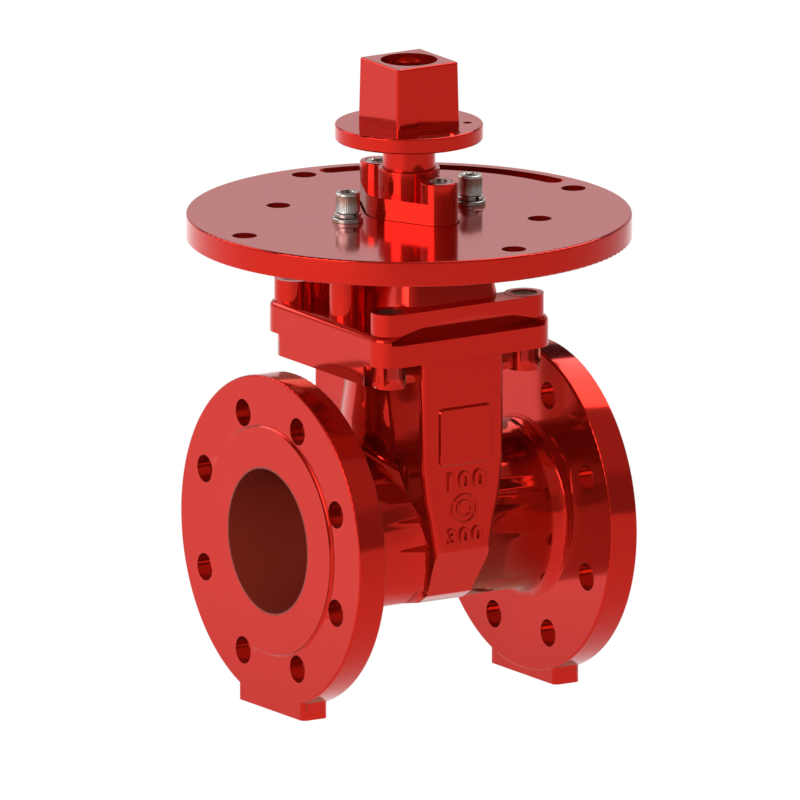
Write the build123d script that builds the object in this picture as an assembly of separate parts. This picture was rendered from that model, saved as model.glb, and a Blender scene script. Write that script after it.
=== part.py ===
from build123d import *
import math
import os

os.makedirs("parts", exist_ok=True)

# All lengths are millimetres. Heights are written from the pipe axis and lifted at the end,
# so that the finished valve stands with its feet on Z = 0.
# X runs along the pipe, Y across it, Z up the stem. The valve is drawn shut.

# Pipe flanges
face_to_face = 228.6
raised_face_depth = 2.0
bolt_face = face_to_face / 2 - raised_face_depth
flange_back = 90.6
flange_radius = 114.3
raised_face_radius = 78.5
bore_radius = 50.0
seat_half_x = 30.0
seat_relief = 0.9
flange_bolt_circle = 90.0
flange_hole_radius = 9.5
flange_hole_count = 8
flange_edge_round = 1.6

# Feet
axis_height = 118.5
foot_half_width = 41.5
foot_thickness = 20.7
foot_height = 55.0
foot_round = 4.0

# Pipe stubs
stub_radius = 55.6
flare_radius = 63.0
flare_length = 9.0
flare_knee_length = 2.7
flare_knee_rise = 2.6

# Flat sided chamber
panel_y = 70.0
chamber_levels = (
    (18.0, -38.0),
    (22.9, -5.0),
    (26.5, 14.0),
    (30.1, 28.0),
    (32.1, 42.0),
    (33.4, 56.0),
)
chin_top_z = -7.0
chin_y = 50.5
chin_z = -41.0
chin_toe_y = 40.0
chin_toe_z = -47.5
chamber_bottom_z = -56.0
chamber_foot_half_x = 17.6
panel_round = 5.0
frame_half_width = 18.5
frame_low_z = 55.6
frame_high_z = 95.0
frame_depth = 2.5
frame_round = 2.6
frame_rim_round = 2.0

# Oval neck around the stem, given as half size along and across the pipe with its height
neck_levels = (
    (44.0, 55.6, 0.0),
    (44.0, 55.4, 20.0),
    (44.0, 54.0, 74.0),
    (42.5, 47.6, 97.0),
    (42.0, 46.0, 114.0),
    (42.0, 46.0, 129.0),
)
cut_half_x = 60.0

# Top of the body
parting_z = 144.5
top_flange_z = 129.0
skirt_z = 114.0
top_half_x = 70.75
top_half_y = 77.5
top_round = 16.5
skirt_half_y = 63.5
skirt_round = 11.0
bolt_x = 54.25
bolt_y = 61.0
under_boss_radius = 11.0
under_boss_z = 112.5

# Closing member and the pocket that it fits
taper = math.tan(math.radians(5.0))
pocket_half_x = 20.0
seat_gap = 0.35
pocket_radius = 52.0
chamber_half_x = 26.6
chamber_straight_z = (chamber_half_x - pocket_half_x) / taper
recess_half_x = 34.0
recess_half_y = 19.0
recess_round = 8.0
recess_floor_z = 64.0
channel_half_x = 8.0
channel_y = 62.0
channel_floor_z = -12.0
channel_round = 3.0
wedge_half_x = pocket_half_x - seat_gap
wedge_radius = pocket_radius - seat_gap
wedge_shoulder_z = 44.0
wedge_top_y = 27.0
wedge_top_z = 78.0
wedge_crown_step_y = 11.0
wedge_crown_step_z = 7.0
rubber_thickness = 2.0
stem_passage_radius = 11.0
lug_half_x = 5.0
lug_y = 59.0
lug_low_z = -6.0
lug_high_z = 36.0
shoe_thickness = 1.8
shoe_gap = 0.1
lug_root = 12.0
nut_slot_low_z = 58.0
nut_slot_high_z = 74.0
nut_slot_half_y = 19.0
nut_half_x = 17.5
nut_gap = 0.25
nut_round = 3.0

# Bonnet
base_top_z = 150.5
base_edge_round = 4.5
corner_boss_radius = 13.5
corner_boss_top_z = 165.5
bar_top_z = 165.3
bar_inner_y = 52.0
groove_side_z = 147.5
groove_crown_z = 157.7
groove_half_x = 62.0
groove_low_y = 68.5
groove_high_y = 75.0
groove_high_z = 158.5
gasket_half_x = 42.5
gasket_half_y = 64.4
gasket_width = 3.4
gasket_depth = 3.0
gasket_round = 12.0
dome_levels = (
    (41.0, 65.5, base_top_z, 19.0),
    (39.8, 61.0, 167.0, 17.5),
    (35.0, 55.0, 199.0, 16.0),
)
dome_cavity_levels = (
    (34.0, 56.0, parting_z, 15.0),
    (27.5, 44.0, 187.0, 12.0),
)
pillar_x = 49.5
pillar_radius = 13.0
plug_pocket_radius = 9.2

# Indicator post flange plate
plate_low_z = 199.0
plate_high_z = 216.5
plate_radius = 152.4
plate_edge_round = 1.5
post_hole_radius = 8.5
post_hole_margin = 19.3
post_hole_circle = plate_radius - post_hole_margin
inner_hole_radius = 8.25
inner_hole_margin = 61.1
inner_hole_circle = plate_radius - inner_hole_margin
inner_hole_angles = (135.0, -45.0)
slot_margin = 15.9
slot_circle = plate_radius - slot_margin
slot_width = 15.0
slot_start_angle = 11.6
slot_sweep_angle = 69.0
plate_opening_gap = 1.0

# Stuffing box and gland, both with a two bolt outline
ear_y = 38.2
ear_radius = 13.0
oval_radius = 30.0
neck_top_z = 222.8
gland_flange_top_z = 231.3
gland_ear_top_z = 245.5
gland_collar_radius = 21.0
gland_collar_top_z = 248.5
gland_recess_radius = 18.3
gland_recess_floor_z = 238.5
gland_edge_round = 1.0
box_radius = 24.0
box_floor_z = 200.0
neck_root_depth = 6.0
spigot_gap = 0.06

# Stem
thread_radius = 10.0
thread_end_chamfer = 1.5
shoulder_radius = 12.0
shoulder_length = 9.0
shoulder_gap = 0.2
shaft_radius = 13.5
collar_radius = 19.5
collar_low_z = 203.0
collar_high_z = 211.0
stem_low_z = 54.0
shaft_top_z = 243.0
square_half = 9.5
square_play = 0.1
stem_top_z = 304.0
stem_tap_depth = 26.0
running_gap = 0.06
washer_thickness = 2.9
washer_play = 0.1
seal_cord = 1.75
seal_low_z = 217.4
seal_pitch = 6.0
seal_count = 3
seal_play = 0.02
gland_seal_z = 218.6
wiper_thickness = 3.2
wiper_play = 0.05

# Operating nut
neck_radius = 18.0
neck_low_z = 243.4
disc_low_z = 268.3
disc_high_z = 279.0
disc_radius = 50.75
square_base_half = 25.4
square_top_half = 24.6
square_round = 2.2
square_sink = 0.5
stem_end_gap = 1.0
nut_recess_radius = 19.5
nut_recess_depth = 18.3
nut_recess_floor_z = stem_top_z + stem_end_gap
nut_top_z = nut_recess_floor_z + nut_recess_depth
disc_hole_radius = 3.0
disc_hole_circle = 39.8
disc_hole_angle = -32.5
nut_edge_round = 1.2

# Socket screws of the body and the gland
screw_radius = 6.0
screw_hole_radius = 6.6
screw_tap_gap = 0.05
head_radius = 9.0
head_height = 12.0
head_chamfer = 0.8
head_clearance = 0.3
join = 0.01
socket_flats = 10.0
socket_depth = 6.0
body_screw_end_z = 118.0
plate_screw_end_z = 174.0
gland_screw_head_z = 233.6
gland_screw_end_z = 203.0
tap_reserve = 3.0
plug_gap = 0.2
plug_sink = 0.6
plug_play = 0.05

# Taller and slimmer screws of the post flange plate, with their washers
plate_screw_radius = 5.0
plate_screw_hole_radius = 5.6
plate_head_radius = 8.25
plate_head_height = 14.3
plate_socket_flats = 8.0
plate_socket_depth = 6.0
flat_washer_radius = 10.6
flat_washer_thickness = 2.8
spring_washer_radius = 9.2
spring_washer_thickness = 3.2
spring_washer_split = 2.4
spring_split_lean_angle = 20.0

# Bolt and washer that hold the operating nut
nut_bolt_radius = 5.0
nut_bolt_flats = 16.0
nut_bolt_head = 6.5
nut_bolt_length = 22.0
nut_washer_radius = 17.0
nut_washer_thickness = 3.0
nut_washer_play = 0.5

quarters = [(sx, sy) for sx in (1, -1) for sy in (1, -1)]
sides = (1, -1)


def upright(radius, low, high, x=0.0, y=0.0):
    """Solid cylinder on a vertical axis between two heights."""
    return Pos(x, y, low) * extrude(Circle(radius), high - low)


def upright_ring(outer, inner, low, high, x=0.0, y=0.0):
    """Tube on a vertical axis between two heights."""
    return Pos(x, y, low) * extrude(Circle(outer) - Circle(inner), high - low)


def along_pipe(radius, start, end, y=0.0, z=0.0):
    """Solid cylinder parallel to the pipe axis."""
    return Pos(start, y, z) * Rot(0, 90, 0) * extrude(Circle(radius), end - start)


def box_between(x0, x1, y0, y1, z0, z1):
    """Box from its lowest corner to its highest corner."""
    middle = Pos((x0 + x1) / 2, (y0 + y1) / 2, (z0 + z1) / 2)
    return middle * Box(x1 - x0, y1 - y0, z1 - z0)


def rounded_prism(half_x, half_y, radius, low, high):
    """Upright prism with rounded corners, centred on the stem."""
    return Pos(0, 0, low) * extrude(RectangleRounded(2 * half_x, 2 * half_y, radius), high - low)


def stacked_ovals(levels):
    """Solid through ellipses given as half size in X, half size in Y and height."""
    solid = None
    for lower, upper in zip(levels, levels[1:]):
        ends = [Pos(0, 0, height) * Ellipse(half_x, half_y) for half_x, half_y, height in (lower, upper)]
        piece = loft(ends, ruled=True)
        solid = piece if solid is None else solid + piece
    return solid


def stacked_sections(levels):
    """Tapering solid through rounded rectangles given as half sizes, height and corner radius."""
    solid = None
    for lower, upper in zip(levels, levels[1:]):
        ends = []
        for half_x, half_y, height, radius in (lower, upper):
            ends.append(Pos(0, 0, height) * RectangleRounded(2 * half_x, 2 * half_y, radius))
        piece = loft(ends, ruled=True)
        solid = piece if solid is None else solid + piece
    return solid


def two_bolt_outline(centre_radius, end_radius):
    """Round centre joined to two ears by tangent flats."""
    lean = math.asin((centre_radius - end_radius) / ear_y)
    near = (centre_radius * math.cos(lean), centre_radius * math.sin(lean))
    far = (end_radius * math.cos(lean), ear_y + end_radius * math.sin(lean))
    outline = Circle(centre_radius)
    for side in sides:
        outline += Pos(0, side * ear_y) * Circle(end_radius)
        corners = [
            (near[0], side * near[1]),
            (far[0], side * far[1]),
            (-far[0], side * far[1]),
            (-near[0], side * near[1]),
        ]
        outline += make_face(Polyline(*corners, close=True))
    return outline


def two_bolt_prism(centre_radius, end_radius, low, high):
    """Upright prism of the two bolt outline."""
    return Pos(0, 0, low) * extrude(two_bolt_outline(centre_radius, end_radius), high - low)


def side_prism(points, half_y):
    """Prism across the pipe from an outline of (x, z) points."""
    face = make_face(Polyline(*[(x, 0, z) for x, z in points], close=True))
    return Pos(0, half_y, 0) * extrude(face, 2 * half_y, dir=(0, -1, 0))


def end_prism(points, half_x):
    """Prism along the pipe from an outline of (y, z) points."""
    face = make_face(Polyline(*[(0, y, z) for y, z in points], close=True))
    return Pos(-half_x, 0, 0) * extrude(face, 2 * half_x, dir=(1, 0, 0))


def both_sides(points):
    """Outline closed by its own mirror image in the first coordinate."""
    return list(points) + [(-a, b) for a, b in reversed(points)]


def cap_screw(x, y, seat_z, end_z, shank, head, height, flats, depth):
    """Cap screw with a hexagon socket, seated at a height and ending lower down."""
    screw = upright(shank, end_z, seat_z + join, x, y)
    cap = upright(head, seat_z, seat_z + height, x, y)
    rim = cap.edges().filter_by(GeomType.CIRCLE).sort_by(Axis.Z)[-1]
    cap = chamfer(rim, head_chamfer)
    key = RegularPolygon(flats / 2, 6, major_radius=False)
    socket = Pos(x, y, seat_z + height - depth) * extrude(key, depth)
    return screw + cap - socket


def body_screw(x, y, seat_z, end_z):
    """Screw of the size that holds the bonnet and the gland."""
    return cap_screw(
        x, y, seat_z, end_z, screw_radius, head_radius, head_height, socket_flats, socket_depth
    )


def plate_screw(x, y, seat_z, end_z):
    """Screw of the size that holds the post flange plate."""
    return cap_screw(
        x, y, seat_z, end_z, plate_screw_radius, plate_head_radius, plate_head_height,
        plate_socket_flats, plate_socket_depth,
    )


def save(name, *solids):
    """Write one node, lifted so that the feet stand on zero."""
    lifted = [Pos(0, 0, axis_height) * solid for solid in solids]
    whole = []
    for item in lifted:
        whole.extend(item.solids())
    node = Compound(children=whole) if len(whole) > 1 else whole[0]
    node.label = name
    export_step(node, "parts/" + name + ".step")


# Body casting
pipe_outline = [
    (0, 0),
    (0, stub_radius),
    (flange_back - flare_length, stub_radius),
    (flange_back - flare_knee_length, stub_radius + flare_knee_rise),
    (flange_back, flare_radius),
    (flange_back, flange_radius),
    (bolt_face, flange_radius),
    (bolt_face, raised_face_radius),
    (face_to_face / 2, raised_face_radius),
    (face_to_face / 2, 0),
]
half_pipe = revolve(make_face(Polyline(*[(x, r, 0) for x, r in pipe_outline], close=True)), Axis.X, 360)
rims = half_pipe.edges().filter_by(GeomType.CIRCLE)
rims = [rim for rim in rims if abs(rim.radius - flange_radius) < 0.01]
half_pipe = fillet(rims, flange_edge_round)
pipe = half_pipe + mirror(half_pipe, Plane.YZ)

chamber_outline = [(chamber_foot_half_x, chamber_bottom_z)]
chamber_outline += list(chamber_levels)
chamber_outline += [(chamber_levels[-1][0], top_flange_z)]
chamber = side_prism(both_sides(chamber_outline), panel_y)
chin_outline = [
    (0, chamber_bottom_z),
    (chin_toe_y, chin_toe_z),
    (chin_y, chin_z),
    (panel_y, chin_top_z),
    (panel_y, top_flange_z),
    (0, top_flange_z),
]
chamber &= end_prism(chin_outline + [(-a, b) for a, b in reversed(chin_outline[1:-1])], cut_half_x)
panel_edges = [
    edge for edge in chamber.edges()
    if abs(abs(edge.center().Y) - panel_y) < 0.01 and abs(edge.center().X) > chamber_levels[0][0]
    and edge.center().Z > chin_top_z
]
chamber = fillet(panel_edges, panel_round)
frame_sketch = RectangleRounded(2 * frame_half_width, frame_high_z - frame_low_z, frame_round)
for side in sides:
    frame_plane = Pos(0, side * panel_y, (frame_low_z + frame_high_z) / 2) * Rot(90, 0, 0)
    chamber -= frame_plane * extrude(frame_sketch, frame_depth, both=True)
frame_edges = [
    edge for edge in chamber.edges()
    if abs(abs(edge.center().Y) - panel_y) < 0.01 and abs(edge.center().X) < frame_half_width + 0.1
    and frame_low_z - 0.1 < edge.center().Z < frame_high_z + 0.1
]
chamber = fillet(frame_edges, frame_rim_round)

body = pipe + chamber + stacked_ovals(neck_levels)
body += rounded_prism(top_half_x, skirt_half_y, skirt_round, skirt_z, top_flange_z)
body += rounded_prism(top_half_x, top_half_y, top_round, top_flange_z, parting_z)
for sx, sy in quarters:
    body += upright(under_boss_radius, under_boss_z, top_flange_z, sx * bolt_x, sy * bolt_y)
for side in sides:
    foot_start = bolt_face - foot_thickness if side > 0 else -bolt_face
    foot = box_between(
        foot_start, foot_start + foot_thickness,
        -foot_half_width, foot_half_width,
        -axis_height, foot_height - axis_height,
    )
    upright_edges = foot.edges().filter_by(Axis.Z)
    body += fillet(upright_edges, foot_round)

# Waterway, pocket for the closing member, guide channels and the room above them
body -= along_pipe(bore_radius, -face_to_face, face_to_face)
body -= along_pipe(bore_radius + seat_relief, -seat_half_x, seat_half_x)
pocket_outline = [
    (pocket_half_x - pocket_radius * taper, -pocket_radius),
    (chamber_half_x, chamber_straight_z),
    (chamber_half_x, parting_z),
]
pocket = side_prism(both_sides(pocket_outline), pocket_radius)
u_shape = along_pipe(pocket_radius, -cut_half_x, cut_half_x)
u_shape += box_between(-cut_half_x, cut_half_x, -pocket_radius, pocket_radius, 0, parting_z)
body -= pocket & u_shape
body -= rounded_prism(recess_half_x, recess_half_y, recess_round, recess_floor_z, parting_z)
channel = rounded_prism(channel_half_x, channel_y, channel_round, channel_floor_z, parting_z)
body -= channel

# Bolt holes and gasket groove
flange_step = 360 / flange_hole_count
for index in range(flange_hole_count):
    angle = math.radians(flange_step * (index + 0.5))
    hole_y = flange_bolt_circle * math.cos(angle)
    hole_z = flange_bolt_circle * math.sin(angle)
    for side in sides:
        low_x, high_x = sorted((side * flange_back, side * face_to_face / 2))
        body -= along_pipe(flange_hole_radius, low_x, high_x, hole_y, hole_z)
for sx, sy in quarters:
    body -= upright(
        screw_radius + screw_tap_gap, body_screw_end_z - tap_reserve, parting_z, sx * bolt_x, sy * bolt_y
    )
gasket = rounded_prism(
    gasket_half_x + gasket_width / 2, gasket_half_y + gasket_width / 2,
    gasket_round + gasket_width / 2, parting_z - gasket_depth, parting_z,
)
gasket -= rounded_prism(
    gasket_half_x - gasket_width / 2, gasket_half_y - gasket_width / 2,
    gasket_round - gasket_width / 2, parting_z - gasket_depth, parting_z,
)
body -= gasket
save("valve_body", body)
save("bonnet_gasket", gasket)

# Bonnet casting
bonnet = rounded_prism(top_half_x, top_half_y, top_round, parting_z, base_top_z)
bonnet = fillet(bonnet.faces().sort_by(Axis.Z)[-1].edges(), base_edge_round)
bonnet += stacked_sections(dome_levels)
for sx, sy in quarters:
    bonnet += upright(corner_boss_radius, parting_z, corner_boss_top_z, sx * bolt_x, sy * bolt_y)
groove_arc = ThreePointArc(
    (groove_half_x, 0, groove_side_z), (0, 0, groove_crown_z), (-groove_half_x, 0, groove_side_z)
)
groove_rest = Polyline(
    (-groove_half_x, 0, groove_side_z), (-groove_half_x, 0, parting_z),
    (groove_half_x, 0, parting_z), (groove_half_x, 0, groove_side_z),
)
groove_face = make_face([groove_arc, groove_rest])
for side in sides:
    outer_y = bolt_y + corner_boss_radius
    low_y, high_y = sorted((side * bar_inner_y, side * outer_y))
    bonnet += box_between(-bolt_x, bolt_x, low_y, high_y, base_top_z, bar_top_z)
    groove = extrude(groove_face, top_half_y, dir=(0, side, 0))
    soffit = make_face(Polyline(
        (0, side * groove_low_y, parting_z),
        (0, side * groove_high_y, groove_high_z),
        (0, side * top_half_y, groove_high_z),
        (0, side * top_half_y, parting_z),
        close=True,
    ))
    bonnet -= groove & extrude(soffit, groove_half_x, both=True)
for side in sides:
    bonnet += upright(pillar_radius, base_top_z, plate_low_z, side * pillar_x, 0)
bonnet += two_bolt_prism(oval_radius, ear_radius, plate_low_z - neck_root_depth, neck_top_z)
bonnet -= stacked_sections(dome_cavity_levels)
bonnet -= upright(shoulder_radius + shoulder_gap, dome_cavity_levels[0][2], box_floor_z)
bonnet -= upright(box_radius, box_floor_z, neck_top_z)
for sx, sy in quarters:
    bonnet -= upright(screw_hole_radius, parting_z, base_top_z, sx * bolt_x, sy * bolt_y)
    bonnet -= upright(plug_pocket_radius, base_top_z, corner_boss_top_z, sx * bolt_x, sy * bolt_y)
for side in sides:
    bonnet -= upright(
        plate_screw_radius + screw_tap_gap, plate_screw_end_z - tap_reserve, plate_low_z,
        side * pillar_x, 0,
    )
    bonnet -= upright(
        screw_radius + screw_tap_gap, gland_screw_end_z - tap_reserve, neck_top_z, 0, side * ear_y
    )
save("bonnet", bonnet)
bonnet_bolts = [
    body_screw(sx * bolt_x, sy * bolt_y, base_top_z, body_screw_end_z) for sx, sy in quarters
]
save("bonnet_bolts", *bonnet_bolts)
plug_low_z = base_top_z + head_height + plug_gap
plugs = [
    upright(
        plug_pocket_radius - plug_play, plug_low_z, corner_boss_top_z - plug_sink,
        sx * bolt_x, sy * bolt_y,
    )
    for sx, sy in quarters
]
save("bolt_head_plugs", *plugs)

# Post flange plate
plate = upright(plate_radius, plate_low_z, plate_high_z)
plate = fillet(plate.edges().filter_by(GeomType.CIRCLE), plate_edge_round)
plate -= two_bolt_prism(
    oval_radius + plate_opening_gap, ear_radius + plate_opening_gap, plate_low_z, plate_high_z
)
for index in range(4):
    angle = math.radians(90 * index)
    plate -= upright(
        post_hole_radius, plate_low_z, plate_high_z,
        post_hole_circle * math.cos(angle), post_hole_circle * math.sin(angle),
    )
for degrees in inner_hole_angles:
    angle = math.radians(degrees)
    plate -= upright(
        inner_hole_radius, plate_low_z, plate_high_z,
        inner_hole_circle * math.cos(angle), inner_hole_circle * math.sin(angle),
    )
slot_sketch = SlotArc(CenterArc((0, 0), slot_circle, slot_start_angle, slot_sweep_angle), slot_width)
plate -= Pos(0, 0, plate_low_z) * extrude(slot_sketch, plate_high_z - plate_low_z)
for side in sides:
    plate -= upright(plate_screw_hole_radius, plate_low_z, plate_high_z, side * pillar_x, 0)
save("post_flange_plate", plate)

washer_top_z = plate_high_z + flat_washer_thickness
spring_top_z = washer_top_z + spring_washer_thickness
flat_washers = []
spring_washers = []
plate_screws = []
for side in sides:
    centre = side * pillar_x
    flat_washers.append(
        upright_ring(
            flat_washer_radius, plate_screw_hole_radius, plate_high_z, washer_top_z, centre, 0
        )
    )
    spring = upright_ring(
        spring_washer_radius, plate_screw_hole_radius, washer_top_z, spring_top_z, centre, 0
    )
    split = Pos(centre, -spring_washer_radius, (washer_top_z + spring_top_z) / 2)
    split *= Rot(0, spring_split_lean_angle, 0) * Box(
        spring_washer_split, 2 * spring_washer_radius, 3 * spring_washer_thickness
    )
    spring_washers.append(spring - split)
    plate_screws.append(plate_screw(centre, 0, spring_top_z, plate_screw_end_z))
save("plate_washers", *flat_washers)
save("plate_spring_washers", *spring_washers)
save("plate_screws", *plate_screws)

# Gland
spigot_low_z = collar_high_z + washer_thickness + 2 * washer_play
gland = two_bolt_prism(oval_radius, ear_radius, neck_top_z, gland_flange_top_z)
gland += upright(gland_collar_radius, gland_flange_top_z, gland_collar_top_z)
for side in sides:
    gland += upright(ear_radius, gland_flange_top_z, gland_ear_top_z, 0, side * ear_y)
top_rims = [
    edge for edge in gland.edges().filter_by(GeomType.CIRCLE)
    if edge.center().Z > gland_ear_top_z - 0.01
]
gland = fillet(top_rims, gland_edge_round)
gland += upright(box_radius - spigot_gap, spigot_low_z, neck_top_z)
gland -= upright(shaft_radius + running_gap, spigot_low_z, gland_collar_top_z)
gland -= upright(gland_recess_radius, gland_recess_floor_z, gland_collar_top_z)
for side in sides:
    gland -= upright(screw_hole_radius, neck_top_z, gland_ear_top_z, 0, side * ear_y)
    gland -= upright(head_radius + head_clearance, gland_screw_head_z, gland_ear_top_z, 0, side * ear_y)
seal_rings = []
seal_groove_radius = shaft_radius + 2 * seal_cord
for index in range(seal_count):
    level = seal_low_z + index * seal_pitch
    gland -= upright_ring(
        seal_groove_radius, shaft_radius, level - seal_cord, level + seal_cord
    )
    seal_rings.append(
        Pos(0, 0, level) * Torus(shaft_radius + seal_cord, seal_cord - seal_play)
    )
outer_groove_radius = box_radius - 2 * seal_cord
gland -= upright_ring(
    box_radius, outer_groove_radius, gland_seal_z - seal_cord, gland_seal_z + seal_cord
)
outer_seal = Pos(0, 0, gland_seal_z) * Torus(box_radius - seal_cord, seal_cord - seal_play)
save("gland", gland)
save("stem_seal_rings", *seal_rings)
save("gland_seal_ring", outer_seal)
gland_screws = [
    body_screw(0, side * ear_y, gland_screw_head_z, gland_screw_end_z) for side in sides
]
save("gland_screws", *gland_screws)
wiper = upright_ring(
    gland_recess_radius - wiper_play, shaft_radius + running_gap,
    gland_recess_floor_z, gland_recess_floor_z + wiper_thickness,
)
save("wiper_ring", wiper)

# Stem with its thrust collar and the two washers that the collar runs between
stem = upright(thread_radius, stem_low_z, box_floor_z)
thread_end = stem.edges().filter_by(GeomType.CIRCLE).sort_by(Axis.Z)[0]
stem = chamfer(thread_end, thread_end_chamfer)
stem += upright(shoulder_radius, box_floor_z - shoulder_length, collar_low_z)
stem += upright(collar_radius, collar_low_z, collar_high_z)
stem += upright(shaft_radius, collar_high_z, shaft_top_z)
stem += box_between(-square_half, square_half, -square_half, square_half, shaft_top_z, stem_top_z)
stem -= upright(nut_bolt_radius + screw_tap_gap, stem_top_z - stem_tap_depth, stem_top_z)
save("stem", stem)
lower_washer = upright_ring(
    box_radius - washer_play, shoulder_radius + shoulder_gap, box_floor_z, box_floor_z + washer_thickness
)
upper_washer = upright_ring(
    box_radius - washer_play, shaft_radius + running_gap, collar_high_z + washer_play,
    collar_high_z + washer_play + washer_thickness,
)
save("lower_thrust_washer", lower_washer)
save("upper_thrust_washer", upper_washer)

# Operating nut, its washer and its bolt
nut = upright(neck_radius, neck_low_z, disc_low_z)
disc = upright(disc_radius, disc_low_z, disc_high_z)
nut += fillet(disc.edges().filter_by(GeomType.CIRCLE), nut_edge_round)
nut_square = stacked_sections((
    (square_base_half, square_base_half, disc_high_z - square_sink, square_round),
    (square_top_half, square_top_half, nut_top_z, square_round),
))
nut_square = fillet(nut_square.faces().sort_by(Axis.Z)[-1].edges(), nut_edge_round)
nut += nut_square
nut -= upright(nut_recess_radius, nut_recess_floor_z, nut_top_z)
hole_half = square_half + square_play
nut -= box_between(-hole_half, hole_half, -hole_half, hole_half, neck_low_z, nut_recess_floor_z)
disc_hole = math.radians(disc_hole_angle)
nut -= upright(
    disc_hole_radius, disc_low_z, disc_high_z,
    disc_hole_circle * math.cos(disc_hole), disc_hole_circle * math.sin(disc_hole),
)
save("operating_nut", nut)
bolt_seat_z = nut_recess_floor_z + nut_washer_thickness
nut_washer = upright_ring(
    nut_washer_radius, nut_bolt_radius + nut_washer_play, nut_recess_floor_z, bolt_seat_z
)
save("nut_washer", nut_washer)
hexagon = RegularPolygon(nut_bolt_flats / 2, 6, major_radius=False)
nut_bolt = Pos(0, 0, bolt_seat_z) * extrude(hexagon, nut_bolt_head)
nut_bolt += upright(nut_bolt_radius, bolt_seat_z - nut_bolt_length, bolt_seat_z)
save("nut_bolt", nut_bolt)


def wedge_form(inset):
    """Tapered tongue with a round foot, drawn in by an inset on every side."""
    low = -wedge_radius + inset
    half = wedge_half_x - inset
    high = wedge_top_z - inset
    profile = [
        (half + low * taper, low),
        (half + high * taper, high),
    ]
    tongue = side_prism(both_sides(profile), wedge_radius)
    rounded = along_pipe(wedge_radius - inset, -cut_half_x, cut_half_x)
    outline = [
        (wedge_radius - inset, 0),
        (wedge_radius - inset, wedge_shoulder_z),
        (wedge_top_y - inset + wedge_crown_step_y, high - wedge_crown_step_z),
        (wedge_top_y - inset, high),
    ]
    rounded += end_prism(both_sides(outline), cut_half_x)
    return tongue & rounded


# Closing member: iron core, rubber skin, bronze nut and nylon guide shoes
core = wedge_form(rubber_thickness)
for side in sides:
    low_y, high_y = sorted((side * (wedge_radius - lug_root), side * lug_y))
    core += box_between(-lug_half_x, lug_half_x, low_y, high_y, lug_low_z, lug_high_z)
passage = upright(stem_passage_radius, -wedge_radius, wedge_top_z)
nut_slot = box_between(
    -cut_half_x, cut_half_x, -nut_slot_half_y, nut_slot_half_y, nut_slot_low_z, nut_slot_high_z
)
core = core - passage - nut_slot
save("wedge_core", core)
rubber_cut = wedge_form(rubber_thickness) + passage + nut_slot
for side in sides:
    low_y, high_y = sorted((side * (wedge_radius - lug_root), side * (lug_y + lug_root)))
    rubber_cut += box_between(-lug_half_x, lug_half_x, low_y, high_y, lug_low_z, lug_high_z)
rubber = Part() + (wedge_form(0) - rubber_cut)
save("wedge_rubber", rubber)
shoe_reach = lug_half_x + shoe_gap + shoe_thickness
wedge_nut = box_between(
    -nut_half_x, nut_half_x,
    -nut_slot_half_y + nut_gap, nut_slot_half_y - nut_gap,
    nut_slot_low_z, nut_slot_high_z - nut_gap,
)
wedge_nut = fillet(wedge_nut.edges().filter_by(Axis.Z), nut_round)
wedge_nut -= upright(thread_radius + running_gap, nut_slot_low_z, nut_slot_high_z)
save("wedge_nut", wedge_nut)
shoes = []
for side in sides:
    inner_y = wedge_radius + shoe_gap
    outer_y = lug_y + shoe_gap + shoe_thickness
    low_y, high_y = sorted((side * inner_y, side * outer_y))
    shoe = box_between(-shoe_reach, shoe_reach, low_y, high_y, lug_low_z, lug_high_z)
    clear_y = lug_y + shoe_gap
    low_y, high_y = sorted((side * inner_y, side * clear_y))
    reach = lug_half_x + shoe_gap
    shoe -= box_between(-reach, reach, low_y, high_y, lug_low_z, lug_high_z)
    shoes.append(shoe)
save("guide_shoes", *shoes)
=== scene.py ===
import math

import bmesh
import bpy
import numpy as np
from bpy.props import FloatProperty, FloatVectorProperty, IntProperty, StringProperty
from mathutils import Matrix, Vector


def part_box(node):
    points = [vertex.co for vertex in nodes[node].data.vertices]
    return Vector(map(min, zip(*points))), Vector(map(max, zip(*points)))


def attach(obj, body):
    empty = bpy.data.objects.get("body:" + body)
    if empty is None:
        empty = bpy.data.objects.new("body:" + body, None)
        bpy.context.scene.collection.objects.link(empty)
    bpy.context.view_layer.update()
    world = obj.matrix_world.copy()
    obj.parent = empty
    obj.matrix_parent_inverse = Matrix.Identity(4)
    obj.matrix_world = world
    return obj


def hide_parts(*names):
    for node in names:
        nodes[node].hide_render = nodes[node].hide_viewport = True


bl_info = {
    "name": "Indicator post gate valve",
    "version": (1, 0, 0),
    "blender": (4, 5, 0),
    "location": "View3D > Sidebar > Valve",
    "description": "Finishes, cast marks, screws and a plain studio for a flanged gate valve",
    "category": "Object",
}

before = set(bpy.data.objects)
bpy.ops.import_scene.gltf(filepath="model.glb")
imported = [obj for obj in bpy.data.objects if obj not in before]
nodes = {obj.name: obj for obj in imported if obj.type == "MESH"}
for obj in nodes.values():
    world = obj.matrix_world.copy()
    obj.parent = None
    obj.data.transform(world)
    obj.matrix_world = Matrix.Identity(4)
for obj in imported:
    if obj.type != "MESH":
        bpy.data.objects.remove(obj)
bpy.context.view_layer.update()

MM = 0.001

# Places and sizes of the construction that detail is fitted to, in metres
AXIS_Z = 0.1185                  # height of the pipe's axis
PIPE_RADIUS = 0.0556             # outside of the pipe stubs
WATERWAY_RADIUS = 0.0512         # just outside the bore and its reliefs
NECK_HALF_X = 0.0440             # half the oval neck's size along the pipe
RIM_TOP_Z = AXIS_Z + 0.1445      # upper face of the body's top flange
RIM_HALF_Y = 0.077               # its long edges lie further out than this
PANEL_Y = 0.070                  # the front and back panels
SKIRT_TOP_Z = AXIS_Z + 0.2790    # upper face of the operating nut's skirt

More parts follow.
